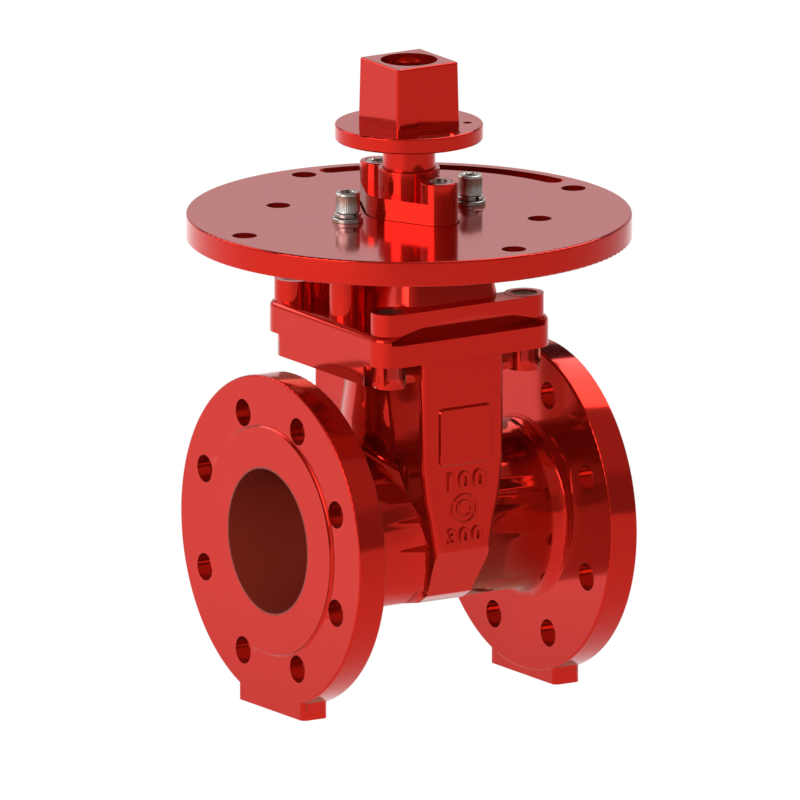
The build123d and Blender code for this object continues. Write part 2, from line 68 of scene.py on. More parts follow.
# Ring fillets: face that they stand on, wall that they lean on, height, width
RAISED_FACE_FILLET = (0.1123, 0.0785, 0.0020, 0.0019)
STUB_FLARE_FILLET = (0.0906, PIPE_RADIUS, -0.0140, 0.0084)
SUNK = 0.0003                    # how deep the hidden corner of a fillet lies

# The square picture that the camera is fitted to
IMAGE_PIXELS = 800
PIXELS_PER_METRE = 1465

# Kinds of step in a turned outline
ROUND, KNURLED, HEXAGON, THREAD, SQUARE, CHAMFERED = range(6)


# Properties that a user would change

class ValvePaintProperties(bpy.types.PropertyGroup):
    """Colours and gloss of the finishes."""

    enamel: FloatVectorProperty(
        name="Enamel", description="Colour of the red castings", subtype="COLOR",
        size=3, min=0.0, max=1.0, default=(0.58, 0.016, 0.007))
    enamel_deep: FloatVectorProperty(
        name="Enamel, deep", description="Darker tone that the enamel drifts to", subtype="COLOR",
        size=3, min=0.0, max=1.0, default=(0.54, 0.013, 0.006))
    # Painted reflection shade: the duller, darker colour that glossy rays see on the enamel in
    # place of its own.
    enamel_painted_reflection: FloatVectorProperty(
        name="Enamel, mirrored", description="Duller tone of the enamel inside its own reflections",
        subtype="COLOR", size=3, min=0.0, max=1.0, default=(0.44, 0.18, 0.12))
    # Darker, duller red that the enamel takes inside the waterway, within a radius of the pipe's
    # axis.
    waterway_red: FloatVectorProperty(
        name="Lining", description="Colour of the dull coat in the waterway", subtype="COLOR",
        size=3, min=0.0, max=1.0, default=(0.30, 0.030, 0.016))
    enamel_rough: FloatProperty(
        name="Enamel roughness", description="Mean roughness of the red enamel",
        min=0.0, max=1.0, default=0.11, subtype="FACTOR")
    enamel_metal: FloatProperty(
        name="Enamel metal", description="Share of metal in the enamel, which reddens its mirror",
        min=0.0, max=1.0, default=0.84, subtype="FACTOR")
    zinc: FloatVectorProperty(
        name="Zinc", description="Colour of the plated screws", subtype="COLOR",
        size=3, min=0.0, max=1.0, default=(0.64, 0.59, 0.56))
    plug: FloatVectorProperty(
        name="Plug wax", description="Colour of the sealing wax over the bonnet bolts",
        subtype="COLOR", size=3, min=0.0, max=1.0, default=(0.030, 0.014, 0.012))
    rubber: FloatVectorProperty(
        name="Wedge rubber", description="Colour of the wedge's rubber skin", subtype="COLOR",
        size=3, min=0.0, max=1.0, default=(0.085, 0.012, 0.009))


class ValveDetailProperties(bpy.types.PropertyGroup):
    """Sizes of the fine detail."""

    cast_edge: FloatProperty(
        name="Cast edge", description="Rounding of the casting's edges",
        min=0.0, max=0.004, default=0.0011, unit="LENGTH")
    cast_fillet: FloatProperty(
        name="Cast fillet", description="Radius of the rounding where the neck meets the pipe",
        min=0.001, max=0.015, default=0.009, unit="LENGTH")
    plate_height: FloatProperty(
        name="Plate height", description="How far the bare cast plates stand out of the panels",
        min=0.0005, max=0.004, default=0.0023, unit="LENGTH")
    mark_height: FloatProperty(
        name="Mark height", description="How far the cast figures stand out of the panels",
        min=0.0001, max=0.003, default=0.0013, unit="LENGTH")
    head_knurls: IntProperty(
        name="Knurls", description="Number of knurls round a screw head",
        min=12, max=90, default=44)
    thread_pitch: FloatProperty(
        name="Thread pitch", description="Pitch of the stem's thread",
        min=0.001, max=0.02, default=0.0075, unit="LENGTH")
    size_figures: StringProperty(
        name="Size figures", description="Plain figures under the bare plate", default="100")
    pressure_figures: StringProperty(
        name="Pressure figures", description="Plain figures low on the panel", default="300")


class ValveStageProperties(bpy.types.PropertyGroup):
    """Camera and light of the plain studio."""

    view_turn: FloatProperty(
        name="View turn", description="Direction that the camera looks in, seen from above",
        default=math.radians(57.48), subtype="ANGLE")
    view_rise: FloatProperty(
        name="View rise", description="Height of the camera above the horizon",
        default=math.radians(13.08), subtype="ANGLE")
    view_width: FloatProperty(
        name="View width", description="Width of what the camera sees",
        min=0.05, max=10.0, default=IMAGE_PIXELS / PIXELS_PER_METRE, unit="LENGTH")
    key_power: FloatProperty(
        name="Key light", description="Power of the large lamp at the camera's left",
        min=0.0, max=2000.0, default=70.0, unit="POWER")
    fill_power: FloatProperty(
        name="Fill light", description="Power of the overhead lamp",
        min=0.0, max=2000.0, default=2.0, unit="POWER")
    side_box: FloatProperty(
        name="Side softbox", description="Brightness of the softbox mirrored from the left",
        min=0.0, max=50.0, default=3.5)
    top_box: FloatProperty(
        name="Top softboxes", description="Brightness of the softboxes mirrored from above",
        min=0.0, max=50.0, default=3.4)
    sky: FloatProperty(
        name="Sky", description="Strength of the surrounding light",
        min=0.0, max=4.0, default=0.25)


# Meshes from arrays

def surface_mesh(name, grid, wrap_rows=False, wrap_cols=True, cap_start=False, cap_end=False):
    """Mesh of a grid of points P[i, j]; quads join neighbours in i and j, and a cap is a fan from
    the mean of the first or last row."""
    rows, cols = grid.shape[:2]
    points = grid.reshape(-1, 3)
    i_last = rows if wrap_rows else rows - 1
    j_last = cols if wrap_cols else cols - 1
    i, j = np.meshgrid(np.arange(i_last), np.arange(j_last), indexing="ij")
    i2 = (i + 1) % rows
    j2 = (j + 1) % cols
    quads = np.stack((i * cols + j, i * cols + j2, i2 * cols + j2, i2 * cols + j), axis=-1)
    faces = quads.reshape(-1, 4).tolist()
    ring = np.arange(cols)
    if cap_start:
        points = np.vstack((points, grid[0].mean(axis=0)))
        centre = len(points) - 1
        fan = np.stack((np.full(cols, centre), (ring + 1) % cols, ring), axis=-1)
        faces += fan.tolist()
    if cap_end:
        points = np.vstack((points, grid[-1].mean(axis=0)))
        centre = len(points) - 1
        base = (rows - 1) * cols
        fan = np.stack((np.full(cols, centre), base + ring, base + (ring + 1) % cols), axis=-1)
        faces += fan.tolist()
    mesh = bpy.data.meshes.new(name)
    mesh.from_pydata(points.tolist(), [], faces)
    return mesh


def joined(name, meshes):
    """One mesh holding several, outward faces recalculated."""
    work = bmesh.new()
    for mesh in meshes:
        work.from_mesh(mesh)
        bpy.data.meshes.remove(mesh)
    bmesh.ops.recalc_face_normals(work, faces=work.faces)
    whole = bpy.data.meshes.new(name)
    work.to_mesh(whole)
    work.free()
    return whole


def place_piece(name, mesh, body, material, replaced=(), sharp=35.0):
    """Object of a mesh already in its place, smooth up to a crease angle, riding on a body."""
    mesh.polygons.foreach_set("use_smooth", np.ones(len(mesh.polygons), dtype=bool))
    mesh.set_sharp_from_angle(angle=math.radians(sharp))
    piece = bpy.data.objects.new(name, mesh)
    bpy.context.collection.objects.link(piece)
    piece.data.materials.clear()
    piece.data.materials.append(material)
    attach(piece, body)
    if replaced:
        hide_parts(*replaced)
    return piece


def dressed_copy(node, name, body, material, edge, sharp=32.0, limit=38.0, softened=None):
    """Copy of a construction node with its doubles merged, its flats cleared of needless edges and
    its corners rounded; where a softened test is given, only edges whose middle passes it are."""
    source = nodes[node]
    work = bmesh.new()
    work.from_mesh(source.data)
    bmesh.ops.remove_doubles(work, verts=work.verts, dist=2e-6)
    bmesh.ops.dissolve_limit(
        work, angle_limit=math.radians(0.4), verts=work.verts, edges=work.edges,
        delimit={"NORMAL"})
    if softened:
        weight = work.edges.layers.float.new("bevel_weight_edge")
        for line in work.edges:
            if line.calc_face_angle(0.0) > math.radians(limit):
                line[weight] = float(softened((line.verts[0].co + line.verts[1].co) / 2))
    mesh = bpy.data.meshes.new(name)
    work.to_mesh(mesh)
    work.free()
    piece = place_piece(name, mesh, body, material, replaced=(node,), sharp=sharp)
    if edge > 0:
        bevel = piece.modifiers.new("rounded edges", "BEVEL")
        bevel.width = edge
        bevel.segments = 3 if softened else 2
        bevel.limit_method = "WEIGHT" if softened else "ANGLE"
        bevel.angle_limit = math.radians(limit)
        bevel.harden_normals = True
        bevel.use_clamp_overlap = True
        bevel.miter_outer = "MITER_ARC"
    weighted = piece.modifiers.new("flat faces stay flat", "WEIGHTED_NORMAL")
    weighted.keep_sharp = True
    weighted.weight = 100
    return piece


def turned(name, profile, x, y, turns, shaping=None):
    """Turned surface: point (s, t) is (x + r(s) k(s, t) cos t, y + r(s) k(s, t) sin t, z(s)), where
    k is 1 or the given shaping of radius, closed at both ends."""
    radius, height = np.array(profile, dtype=float).T
    angle = np.linspace(0, 2 * np.pi, turns, endpoint=False)
    factor = np.ones((len(radius), turns)) if shaping is None else shaping(height, angle)
    reach = radius[:, None] * factor
    grid = np.stack((
        x + reach * np.cos(angle), y + reach * np.sin(angle),
        np.repeat(height[:, None], turns, axis=1),
    ), axis=-1)
    return surface_mesh(name, grid * MM, cap_start=True, cap_end=True)


def turned_steps(name, outline, x, y, turns, shapes):
    """Turned surface of steps (r, z, kind), where the shape given for a kind tells, from the
    heights and the angle, by what the radius is multiplied."""
    kinds = np.array([kind for _, _, kind in outline])

    def shaping(heights, angle):
        """Factors of every step, one where its kind has no shape."""
        factor = np.ones((len(kinds), len(angle)))
        for kind, shape in shapes.items():
            factor[kinds == kind] = shape(heights[kinds == kind, None], angle)
        return factor

    return turned(name, [step[:2] for step in outline], x, y, turns=turns, shaping=shaping)


def hex_factor(angle, soft):
    """Radius of a hexagon over its inner circle: 1 / cos of the angle from the nearest flat, with
    its corners held down by a soft limit."""
    fold = np.mod(angle + np.pi / 6, np.pi / 3) - np.pi / 6
    return np.minimum(1 / np.cos(fold), 1 / np.cos(np.pi / 6) - soft)


def box_mm(node):
    """Low and high corners of a construction node in millimetres."""
    low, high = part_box(node)
    return np.array(low) / MM, np.array(high) / MM


# Node groups shared by the finishes

def new_group(name, inputs, outputs):
    """Empty shader group with float or colour sockets."""
    group = bpy.data.node_groups.new(name, "ShaderNodeTree")
    for label, kind, value in inputs:
        socket = group.interface.new_socket(name=label, in_out="INPUT", socket_type=kind)
        socket.default_value = value
    for label, kind in outputs:
        group.interface.new_socket(name=label, in_out="OUTPUT", socket_type=kind)
    return group, group.nodes.new("NodeGroupInput"), group.nodes.new("NodeGroupOutput")


def wire(tree, *pairs):
    """Links from socket to socket."""
    for start, end in pairs:
        tree.links.new(start, end)


def fill(node, **values):
    """Default values of a node's inputs, named with underscores for spaces."""
    for label, value in values.items():
        node.inputs[label.replace("_", " ")].default_value = value
    return node


def math_node(tree, operation, kind="ShaderNodeMath"):
    """Node that does one operation on numbers or vectors."""
    node = tree.nodes.new(kind)
    node.operation = operation
    return node


def mix_node(tree, kind):
    """Node that mixes two colours (RGBA) or two numbers (FLOAT)."""
    node = tree.nodes.new("ShaderNodeMix")
    node.data_type = kind
    return node


def surface_group():
    """Colour drift, roughness drift and a fine skin texture, from noise on Object coordinates."""
    found = bpy.data.node_groups.get("skin_variation")
    if found:
        return found
    group, inside, outside = new_group(
        "skin_variation",
        [
            ("Colour", "NodeSocketColor", (0.7, 0.02, 0.01, 1)),
            ("Deep colour", "NodeSocketColor", (0.5, 0.01, 0.01, 1)),
            ("Drift scale", "NodeSocketFloat", 14.0),
            ("Roughness low", "NodeSocketFloat", 0.06),
            ("Roughness high", "NodeSocketFloat", 0.12),
            ("Skin scale", "NodeSocketFloat", 420.0),
            ("Skin depth", "NodeSocketFloat", 0.03),
            ("Wave scale", "NodeSocketFloat", 60.0),
            ("Wave depth", "NodeSocketFloat", 0.05),
        ],
        [("Colour", "NodeSocketColor"), ("Roughness", "NodeSocketFloat"),
         ("Height", "NodeSocketFloat")],
    )
    place = group.nodes.new("ShaderNodeTexCoord")
    drift, fine, wave = (
        fill(group.nodes.new("ShaderNodeTexNoise"), Detail=detail) for detail in (3.0, 2.0, 1.0))
    mix = mix_node(group, "RGBA")
    rough = group.nodes.new("ShaderNodeMapRange")
    fine_height = math_node(group, "MULTIPLY")
    wave_height = math_node(group, "MULTIPLY")
    total = math_node(group, "ADD")
    wire(
        group,
        (place.outputs["Object"], drift.inputs["Vector"]),
        (place.outputs["Object"], fine.inputs["Vector"]),
        (place.outputs["Object"], wave.inputs["Vector"]),
        (inside.outputs["Drift scale"], drift.inputs["Scale"]),
        (inside.outputs["Skin scale"], fine.inputs["Scale"]),
        (inside.outputs["Wave scale"], wave.inputs["Scale"]),
        (drift.outputs["Fac"], mix.inputs["Factor"]),
        (inside.outputs["Colour"], mix.inputs["A"]),
        (inside.outputs["Deep colour"], mix.inputs["B"]),
        (drift.outputs["Fac"], rough.inputs["Value"]),
        (inside.outputs["Roughness low"], rough.inputs["To Min"]),
        (inside.outputs["Roughness high"], rough.inputs["To Max"]),
        (fine.outputs["Fac"], fine_height.inputs[0]),
        (inside.outputs["Skin depth"], fine_height.inputs[1]),
        (wave.outputs["Fac"], wave_height.inputs[0]),
        (inside.outputs["Wave depth"], wave_height.inputs[1]),
        (fine_height.outputs[0], total.inputs[0]),
        (wave_height.outputs[0], total.inputs[1]),
        (mix.outputs["Result"], outside.inputs["Colour"]),
        (rough.outputs["Result"], outside.inputs["Roughness"]),
        (total.outputs[0], outside.inputs["Height"]),
    )
    return group


def waterway_group():
    """Mask that is one within a radius of the pipe's axis, from Object coordinates."""
    found = bpy.data.node_groups.get("waterway_mask")
    if found:
        return found
    group, inside, outside = new_group(
        "waterway_mask",
        [("Radius", "NodeSocketFloat", WATERWAY_RADIUS), ("Height", "NodeSocketFloat", AXIS_Z)],
        [("Mask", "NodeSocketFloat")])
    place = group.nodes.new("ShaderNodeTexCoord")
    split = group.nodes.new("ShaderNodeSeparateXYZ")
    rise = math_node(group, "SUBTRACT")
    flat = group.nodes.new("ShaderNodeCombineXYZ")
    reach = math_node(group, "LENGTH", "ShaderNodeVectorMath")
    within = math_node(group, "LESS_THAN")
    wire(
        group,
        (place.outputs["Object"], split.inputs["Vector"]),
        (split.outputs["Z"], rise.inputs[0]),
        (inside.outputs["Height"], rise.inputs[1]),
        (split.outputs["Y"], flat.inputs["X"]),
        (rise.outputs[0], flat.inputs["Y"]),
        (flat.outputs["Vector"], reach.inputs[0]),
        (reach.outputs["Value"], within.inputs[0]),
        (inside.outputs["Radius"], within.inputs[1]),
        (within.outputs[0], outside.inputs["Mask"]),
    )
    return group


def finish(name, colour, deep, rough, skin, wave, bump, drift=14.0, metallic=0.0, mirrored=None):
    """Material of one finish, on the shared variation group: rough is the low and the high
    roughness, skin and wave the scale and depth of two reliefs. A mirrored tone, painted
    reflection shade, takes over where the finish is seen in a glossy reflection: a duller, darker
    colour that stands in for the object's dark reflections of itself."""
    found = bpy.data.materials.get(name)
    if found:
        return found
    material = bpy.data.materials.new(name)
    material.use_nodes = True
    tree = material.node_tree
    shader = tree.nodes["Principled BSDF"]
    fill(shader, Metallic=metallic)
    variation = tree.nodes.new("ShaderNodeGroup")
    variation.node_tree = surface_group()
    fill(variation, Colour=(*colour, 1), Deep_colour=(*deep, 1), Drift_scale=drift,
         Roughness_low=rough[0], Roughness_high=rough[1], Skin_scale=skin[0], Skin_depth=skin[1],
         Wave_scale=wave[0], Wave_depth=wave[1])
    relief = fill(tree.nodes.new("ShaderNodeBump"), Strength=bump, Distance=MM)
    wire(
        tree,
        (variation.outputs["Colour"], shader.inputs["Base Color"]),
        (variation.outputs["Roughness"], shader.inputs["Roughness"]),
        (variation.outputs["Height"], relief.inputs["Height"]),
        (relief.outputs["Normal"], shader.inputs["Normal"]),
    )
    # Painted reflection shade: glossy rays see the mirrored colour instead of the finish's own.
    if mirrored:
        path = tree.nodes.new("ShaderNodeLightPath")
        tone = fill(mix_node(tree, "RGBA"), B=(*mirrored, 1))
        wire(
            tree,
            (path.outputs["Is Glossy Ray"], tone.inputs["Factor"]),
            (variation.outputs["Colour"], tone.inputs["A"]),
            (tone.outputs["Result"], shader.inputs["Base Color"]),
        )
    return material


def enamel(name="red_enamel_gloss", full=False):
    """Red enamel with painted reflection shade, the duller mirrored tone that glossy rays see; a
    full tone leaves it out and stays as bright in reflections as it is in itself.
    """
    paint = bpy.context.scene.valve_paint
    rough = (paint.enamel_rough * 0.7, paint.enamel_rough * 1.3)
    return finish(name, tuple(paint.enamel), tuple(paint.enamel_deep), rough, skin=(520.0, 0.015),
                  wave=(95.0, 0.03), bump=0.08, metallic=paint.enamel_metal,
                  mirrored=None if full else tuple(paint.enamel_painted_reflection))


def body_enamel():
    """Red enamel that turns a darker, duller red inside the waterway, within a radius of the pipe's
    axis.
    """
    paint = bpy.context.scene.valve_paint
    material = bpy.data.materials.get("red_enamel_darker_waterway")
    if material:
        return material
    material = enamel("red_enamel_darker_waterway")
    tree = material.node_tree
    shader = tree.nodes["Principled BSDF"]
    mask = tree.nodes.new("ShaderNodeGroup")
    mask.node_tree = waterway_group()
    for socket, kind, waterway_value in (
        ("Base Color", "RGBA", (*paint.waterway_red, 1)), ("Roughness", "FLOAT", 0.45),
        ("Metallic", "FLOAT", 0.35),
    ):
        mix = fill(mix_node(tree, kind), B=waterway_value)
        before = shader.inputs[socket]
        if before.is_linked:
            tree.links.new(before.links[0].from_socket, mix.inputs["A"])
        else:
            mix.inputs["A"].default_value = before.default_value
        wire(tree, (mask.outputs["Mask"], mix.inputs["Factor"]), (mix.outputs["Result"], before))
    return material


def zinc():
    """Bright zinc on the screws and washers."""
    colour = tuple(bpy.context.scene.valve_paint.zinc)
    dull = tuple(0.72 * part for part in colour)
    return finish("zinc_plated_steel", colour, dull, (0.22, 0.38), skin=(900.0, 0.10),
                  wave=(240.0, 0.05), drift=120.0, metallic=1.0, bump=0.25)


def stainless():
    """Turned stainless steel of the stem."""
    return finish("turned_stainless", (0.58, 0.58, 0.57), (0.42, 0.42, 0.41), (0.18, 0.32),
                  skin=(1200.0, 0.08), wave=(300.0, 0.04), drift=90.0, metallic=1.0, bump=0.2)


def black_rubber():
    """Dull rubber of the seals and the gasket."""
    return finish("black_rubber_matte", (0.020, 0.019, 0.018), (0.035, 0.033, 0.031), (0.55, 0.8),
                  skin=(900.0, 0.2), wave=(200.0, 0.1), drift=80.0, bump=0.3)


def wedge_rubber():
    """Rubber skin of the wedge."""
    colour = tuple(bpy.context.scene.valve_paint.rubber)
    dusty = tuple(1.25 * part for part in colour)
    return finish("moulded_wedge_rubber", colour, dusty, (0.32, 0.5),
                  skin=(700.0, 0.15), wave=(120.0, 0.1), drift=40.0, bump=0.25)


def sealing_wax():
    """Dark, uneven wax over the bonnet bolts."""
    colour = tuple(bpy.context.scene.valve_paint.plug)
    return finish("dark_sealing_wax", colour, tuple(2.2 * part for part in colour), (0.22, 0.5),
                  skin=(500.0, 0.25), wave=(130.0, 0.6), drift=110.0, bump=0.5)


def nylon():
    """Nylon of the guide shoes and thrust washers."""
    return finish("ivory_nylon", (0.72, 0.69, 0.60), (0.62, 0.58, 0.48), (0.35, 0.5),
                  skin=(700.0, 0.1), wave=(200.0, 0.1), drift=60.0, bump=0.2)


def bronze():
    """Bronze of the wedge nut."""
    return finish("cast_bronze", (0.60, 0.36, 0.15), (0.42, 0.24, 0.10), (0.25, 0.45),
                  skin=(600.0, 0.25), wave=(150.0, 0.15), drift=90.0, metallic=1.0, bump=0.3)


def grey_iron():
    """Bare iron of the wedge's core."""
    return finish("sand_cast_iron", (0.12, 0.12, 0.125), (0.07, 0.068, 0.066), (0.5, 0.75),
                  skin=(450.0, 0.6), wave=(90.0, 0.4), drift=60.0, metallic=0.6, bump=0.6)


# Operators, one for each piece or group

class VALVE_OT_castings(bpy.types.Operator):
    """Red castings with rounded edges and glossy enamel."""

    bl_idname = "valve.castings"
    bl_label = "Red castings"

    def execute(self, context):
        edge = context.scene.valve_detail.cast_edge
        small = enamel("red_enamel_small_castings", full=True)
        dressed_copy("valve_body", "body_casting", "valve", body_enamel(), edge * 2.6,
                     softened=self.top_rim)
        dressed_copy("bonnet", "bonnet_casting", "valve", small, edge * 0.9)
        dressed_copy("post_flange_plate", "post_plate", "valve", enamel(), 0.0,
                     sharp=46.0)
        dressed_copy("gland", "gland_casting", "valve", small, edge * 0.7)
        dressed_copy("operating_nut", "square_nut", "stem", small, edge * 0.7)
        return {"FINISHED"}

    def top_rim(self, point):
        """True on the long edges of the top flange's upper face."""
        return abs(point.z - RIM_TOP_Z) < MM and abs(point.y) > RIM_HALF_Y


class VALVE_OT_fillets(bpy.types.Operator):
    """Hollow cast roundings where the neck, the flanges and the raised faces meet the pipe."""

    bl_idname = "valve.fillets"
    bl_label = "Cast fillets"

    def execute(self, context):
        parts = []
        for side in (-1, 1):
            parts.append(self.ring(side, *RAISED_FACE_FILLET))
            parts.append(self.ring(side, *STUB_FLARE_FILLET))
            parts.append(self.saddle(side, context.scene.valve_detail.cast_fillet))
        place_piece("cast_fillets", joined("cast_fillets", parts), "valve", enamel())
        return {"FINISHED"}

    def ring(self, side, foot, radius, height, width):
        """Hollow ring round the pipe: at (x + h (1 - sin s), r + w (1 - cos s)) with s from 0 to a
        quarter turn, x the face that it stands on and r the wall that it leans on, and closed by a
        corner sunk in both."""
        lean = np.linspace(0, np.pi / 2, 12)
        turn = np.linspace(0, 2 * np.pi, 240, endpoint=False)
        along = side * np.append(foot + height * (1 - np.sin(lean)), foot - 0.15 * height)
        reach = np.append(radius + width * (1 - np.cos(lean)), radius - SUNK)
        grid = np.stack((
            np.repeat(along[:, None], len(turn), axis=1),
            reach[:, None] * np.cos(turn), AXIS_Z + reach[:, None] * np.sin(turn)), axis=-1)
        return surface_mesh("ring", grid, wrap_rows=True)

    def saddle(self, side, size):
        """Hollow fillet along the line where the oval neck of half sizes a and b stands on the pipe
        of radius b: (a cos t + f (1 - cos s), b sin t, b cos t + f (1 - sin s)), and closed by a
        corner sunk in both."""
        turn = np.linspace(-1.50, 1.50, 160)[:, None]
        lean = np.linspace(0, np.pi / 2, 14)
        along = NECK_HALF_X * np.cos(turn) + np.append(size * (1 - np.cos(lean)), -SUNK)
        across = np.broadcast_to(PIPE_RADIUS * np.sin(turn), along.shape)
        rise = PIPE_RADIUS * np.cos(turn) + np.append(size * (1 - np.sin(lean)), -SUNK)
        grid = np.stack((side * along, across, AXIS_Z + rise), axis=-1)
        return surface_mesh("saddle", grid, cap_start=True, cap_end=True)


def figure_mesh(text, size, depth):
    """Plain figures as a raised mesh, centred on the origin in the XY plane."""
    curve = bpy.data.curves.new("figures", "FONT")
    curve.body = text
    curve.size = size
    curve.space_character = 1.35
    curve.align_x = "CENTER"
    curve.align_y = "CENTER"
    curve.extrude = depth
    curve.offset = size * 0.012
    curve.bevel_depth = size * 0.03
    curve.bevel_resolution = 1
    curve.resolution_u = 4
    holder = bpy.data.objects.new("figures", curve)
    bpy.context.collection.objects.link(holder)
    graph = bpy.context.evaluated_depsgraph_get()
    mesh = bpy.data.meshes.new_from_object(holder.evaluated_get(graph))
    bpy.data.objects.remove(holder)
    return mesh


class VALVE_OT_marks(bpy.types.Operator):
    """Bare cast plates, plain figures and rings on both panels, and an arrow on the skirt."""

    bl_idname = "valve.marks"
    bl_label = "Cast marks"

    def execute(self, context):
        detail = context.scene.valve_detail
        rise = detail.mark_height
        for label, turn, side in (("front", 0.0, -1), ("back", math.pi, 1)):
            parts = []
            for text, size, height in (
                (detail.size_figures, 0.0175, 0.0415),
                (detail.pressure_figures, 0.0150, 0.0030),
            ):
                mesh = figure_mesh(text, size, rise)
                upright = Matrix.Rotation(math.pi / 2, 4, "X")
                out = Matrix.Translation((0, -PANEL_Y, AXIS_Z + height))
                mesh.transform(Matrix.Rotation(turn, 4, "Z") @ out @ upright)
                parts.append(mesh)
            for radius in (0.0098, 0.0056):
                parts.append(self.ring(side, radius, rise))
            parts.append(self.plate(side, detail.plate_height))
            place_piece("cast_figures_" + label, joined("cast_figures", parts), "valve", enamel(),
                        sharp=40.0)
        place_piece("turning_arrow", self.arrow(0.9 * rise), "stem", enamel(),
                    sharp=40.0)
        return {"FINISHED"}

    def plate(self, side, height):
        """Bare plate on a panel: a rounded rectangle, grown by g and risen by h along the pairs
        (g, h) of its section, with a thin skirt that lies on the panel."""
        section = np.array((
            (4.21, -0.05), (4.2, 0.02), (0.85, 0.02), (0.7, 0.03), (0.5, 0.12), (0.35, 0.4),
            (-0.4, 2.0), (-0.55, 2.2), (-0.8, 2.3), (-0.95, 2.3))) * (MM, height / 2.3)
        half_x, half_z, rounding = 0.0175, 0.0169, 0.0030
        middle = AXIS_Z + 0.0739
        turn = np.linspace(0, 2 * np.pi, 64, endpoint=False) + np.pi / 64
        corner = rounding + section[:, :1]
        across = half_x * np.sign(np.cos(turn)) + corner * np.cos(turn)
        rise = half_z * np.sign(np.sin(turn)) + corner * np.sin(turn)
        out = np.repeat(side * (PANEL_Y + section[:, 1:]), len(turn), axis=1)
        grid = np.stack((across, out, middle + rise), axis=-1)
        return surface_mesh("plate", grid, cap_start=True, cap_end=True)

    def ring(self, side, radius, rise):
        """Ring on a panel: (r + w cos s) round the centre, standing out by h sin s over a turn."""
        half_width = 0.0010
        middle = AXIS_Z + 0.0225
        turn = np.linspace(0, 2 * np.pi, 48, endpoint=False)
        lean = np.linspace(0, 2 * np.pi, 12, endpoint=False)
        reach = radius + half_width * np.cos(lean)[:, None] * np.ones(len(turn))
        out = side * rise * np.sin(lean)[:, None] * np.ones(len(turn))
        grid = np.stack((reach * np.cos(turn), side * PANEL_Y + out,
                         middle + reach * np.sin(turn)), axis=-1)
        return surface_mesh("ring", grid, wrap_rows=True)

    def arrow(self, rise):
        """Arrow on the skirt: an arc of radius r from angle a over b whose half width is w on the
        shaft and runs from three w to nothing over the head."""
        radius = 0.0446
        shaft_half, head_half, tip_half = 0.0013, 0.0040, 0.00005
        sunk = -0.0004
        head = 0.72
        along = np.concatenate((np.linspace(0, head, 22), np.linspace(head + 0.0001, 1.0, 10)))
        slope = 1 - (along - head) / (1 - head)
        half = np.where(along < head, shaft_half, head_half * slope + tip_half)
        angle = np.radians(-115 + 44 * along)
        rows = []
        for out, up in ((-1, sunk), (-1, rise), (1, rise), (1, sunk)):
            reach = radius + out * half
            rows.append(np.stack((reach * np.cos(angle), reach * np.sin(angle),
                                  np.full_like(angle, SKIRT_TOP_Z + up)), axis=-1))
        grid = np.transpose(np.array(rows), (1, 0, 2))
        return surface_mesh("arrow", grid, cap_start=True, cap_end=True)


def socket_screw(x, y, seat, end, knurls, radius, height, shank, pitch):
    """Cap screw in millimetres: a turned outline whose head side is knurled, whose socket is six
    sided and whose shank of radius r carries a thread, r (1 - d (1 - cos(2 pi z / p - t)))."""
    top = seat + height
    flat = radius * 0.54
    knurl_depth, thread_depth = 0.025, 0.075
    threads = max(int((seat - end - 8) / 0.30), 2)
    outline = [
        (shank * 0.82, end, ROUND), (shank, end + 1.2, THREAD),
        *((shank, z, THREAD) for z in np.linspace(end + 1.5, seat - 6, threads)),
        (shank, seat - 5.6, ROUND), (shank, seat + 0.01, ROUND),
        (radius - 0.5, seat + 0.01, ROUND), (radius, seat + 0.5, ROUND),
        (radius, seat + 1.4, ROUND), (radius, seat + 1.7, KNURLED),
        (radius, top - 2.6, KNURLED), (radius, top - 2.3, ROUND), (radius, top - 1.1, ROUND),
        (radius - 0.3, top - 0.4, ROUND), (radius - 0.9, top, ROUND),
        (flat + 1.3, top, ROUND), (flat + 0.75, top - 0.15, ROUND),
        (flat, top - 0.75, HEXAGON), (flat, top - 6.0, HEXAGON),
        (flat - 0.6, top - 6.4, HEXAGON), (0.6, top - 7.2, ROUND),
    ]
    return turned_steps("screw", outline, x, y, 264, {
        KNURLED: lambda z, t: 1 - knurl_depth * np.abs(np.sin(knurls / 2 * t)),
        HEXAGON: lambda z, t: hex_factor(t, 0.0),
        THREAD: lambda z, t: 1 - thread_depth * (1 - np.cos(2 * np.pi * z / pitch - t)),
    })


def spring_ring(x, y, low, high, inner, outer):
    """Split ring: a rectangular section carried round an arc while it rises by its lift."""
    lift, corner = 0.7, 0.25
    half_gap = math.radians(9)
    angle = np.linspace(half_gap, 2 * np.pi - half_gap, 120) - np.pi / 2
    share = np.linspace(0, 1, len(angle))
    thick = high - low - lift
    section = np.array([
        (inner + corner, 0), (outer - corner, 0), (outer, corner), (outer, thick - corner),
        (outer - corner, thick), (inner + corner, thick), (inner, thick - corner), (inner, corner),
    ])
    reach = section[None, :, 0]
    grid = np.stack((
        x + reach * np.cos(angle)[:, None], y + reach * np.sin(angle)[:, None],
        low + section[None, :, 1] + lift * share[:, None] + 0 * reach,
    ), axis=-1)
    return surface_mesh("spring", grid * MM, cap_start=True, cap_end=True)


def flat_ring(x, y, low, high, inner, outer):
    """Washer: an eight sided section with broken corners turned round its axis."""
    corner = 0.3
    section = np.array([
        (inner + corner, low), (outer - corner, low), (outer, low + corner), (outer, high - corner),
        (outer - corner, high), (inner + corner, high), (inner, high - corner),
        (inner, low + corner),
    ])
    angle = np.linspace(0, 2 * np.pi, 96, endpoint=False)
    grid = np.stack((
        x + section[:, :1] * np.cos(angle), y + section[:, :1] * np.sin(angle),
        section[:, 1:] + 0 * angle,
    ), axis=-1)
    return surface_mesh("washer", grid * MM, wrap_rows=True)


